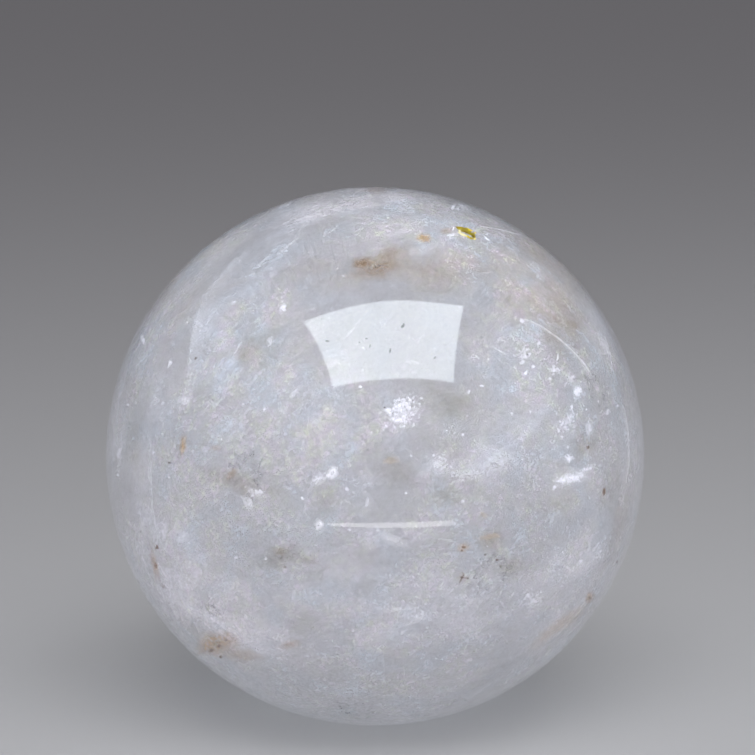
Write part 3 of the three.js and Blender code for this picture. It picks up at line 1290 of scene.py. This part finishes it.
def add_wisps(bundle, count, steps=7):
    """Short thin wisps near the skin all round, laid roughly along it."""
    along, across, fade = stroke_shape(steps)
    outward = random_directions(count)
    depth = rng.uniform(*WISP_DEPTH, count) * MM
    middle = BALL_CENTRE + outward * (BALL_RADIUS - depth)[:, None]
    ahead = unit(np.cross(outward, random_directions(count)) + 0.3 * outward * rng.normal(size=(count, 1)))
    side = unit(np.cross(ahead, outward + 0.4 * random_directions(count)))
    length = rng.uniform(*WISP_LENGTH, (count, 1, 1, 1)) * MM
    width = rng.uniform(*WISP_WIDTH, (count, 1, 1, 1)) * MM
    bow = rng.uniform(-WISP_BOW, WISP_BOW, (count, 1, 1, 1)) * length
    ahead, side = ahead[:, None, None], side[:, None, None]
    spread = along[..., None] * length * ahead + across[..., None] * width * side
    spread = spread + (along**2)[..., None] * bow * side
    points = kept_in(middle[:, None, None] + spread, LEAST_DEPTH)
    strength = rng.uniform(*WISP_COVER, (count, 1, 1))
    bundle.add(points, [strip_faces(count, steps)], strength * fade)


def make_veils():
    veils = Bundle()
    add_clouds(veils, MIST_CLOUDS, dive=0.5)
    add_far_veils(veils, FAR_VEILS, (0.45, 0.93), size=(5, 17), strength=(0.25, 0.8), in_front=0.4)
    veils.turn = MIST_TURN
    add_clouds(veils, MIST_CLOUDS[:16], dive=0.5)
    veils.piece("veils", mist_material())


def make_frost():
    frost = Bundle()
    add_frost(frost, FROST_SHEETS)
    frost.piece("fine_frost", frost_material())


def make_veil_edges():
    edges = Bundle()
    for edge in VEIL_EDGES.values():
        add_veil_edge(edges, *edge)
    add_strokes(edges, SOFT_STROKES)
    add_clouds(edges, SOFT_SPOTS, dive=0.2, rings=6, spokes=20)
    add_wisps(edges, WISPS)
    edges.turn = EDGE_TURN
    for edge in list(VEIL_EDGES.values())[:3]:
        add_veil_edge(edges, *edge)
    add_strokes(edges, SOFT_STROKES)
    edges.piece("veil_edges", edge_material())


def make_smoky_places():
    smoke = Bundle()
    add_clouds(smoke, SMOKY_PLACES, dive=0.2)
    add_far_veils(smoke, FAR_SMOKY_PLACES, (0.86, 0.95), size=(2.5, 7), strength=(0.10, 0.35), in_front=0.7)
    smoke.turn = SMOKE_TURN
    add_clouds(smoke, SMOKY_PLACES[::2], dive=0.2)
    smoke.piece("smoky_places", smoke_material())


def make_iron_stains():
    stains = Bundle()
    add_clouds(stains, RUSTY_PLACES, dive=0.2, rings=8, spokes=24)
    add_far_veils(stains, FAR_STAINS, (0.93, 0.975), size=(0.8, 2.4), strength=(0.3, 0.7), in_front=0.0)
    stains.turn = RUST_TURN
    add_clouds(stains, RUSTY_PLACES, dive=0.2, rings=8, spokes=24)
    stains.piece("iron_stains", rust_material())


def make_rust_grains():
    grains = Bundle()
    for turn in (0.0, RUST_TURN):
        grains.turn = turn
        add_flakes(grains, RUST_GRAINS, swollen=1.9, rim=0.1)
    grains.piece("rust_grains", speck_material("rust_grain", 0.35 * MM, (0.20, 0.12, 0.08)), smooth=False)


def make_bright_flakes():
    flakes = Bundle()
    add_flakes(flakes, BRIGHT_FLAKES, corners=8, swollen=1.6, rim=0.2)
    add_clouds(flakes, SPECK_PATCHES, dive=0.3, rings=6, spokes=20, softness=1.0)
    add_far_veils(flakes, FAR_FLAKES, (0.94, 0.98), size=(1.2, 5), strength=(0.4, 0.8), in_front=0, tone=0.7)
    flakes.turn = FLAKE_TURN
    add_flakes(flakes, BRIGHT_FLAKES, corners=8, swollen=1.6, rim=0.2)
    add_clouds(flakes, SPECK_PATCHES[::2], dive=0.3, rings=6, spokes=20, softness=1.0)
    flakes.piece("bright_flakes", speck_material("frosted_flake", 0.42 * MM, (0.95, 0.95, 1.0)), smooth=False)


def make_fine_snow():
    snow = Bundle()
    add_bubbles(snow, BUBBLES)
    material = flake_material("bubble_white", (0.95, 0.95, 0.98), (0.85, 0.80, 0.75))
    snow.piece("fine_snow", material, smooth=False)


def make_flat_flakes(name, rows, material, corners=8):
    flakes = Bundle()
    add_flakes(flakes, rows, corners)
    flakes.piece(name, material, smooth=False)


make_camera()
make_softbox()
make_fill_light()
make_strip_light()
make_sky()
make_floor()
make_ball()
make_veils()
make_frost()
make_veil_edges()
make_smoky_places()
make_iron_stains()
make_rust_grains()
make_bright_flakes()
make_fine_snow()
make_flat_flakes("gold_film", GOLD_FILM, gold_material())
gold_shadow = flake_material("gold_shadow", (0.30, 0.20, 0.04), (0.12, 0.08, 0.01))
make_flat_flakes("gold_shadows", GOLD_SHADOWS, gold_shadow, corners=6)
# Painted shade: dark specks for the pits in the lamp's mirror image and the gaps between glinting flakes.
painted_pit_and_gap_shade = flake_material("painted_pit_and_gap_shade", (0.16, 0.15, 0.16), (0.05, 0.05, 0.055))
make_flat_flakes("dark_specks", DARK_SPECKS, painted_pit_and_gap_shade)

bpy.context.scene.view_settings.view_transform = "Standard"
bpy.context.scene.cycles.volume_bounces = 4
bpy.context.scene.cycles.transparent_max_bounces = 64
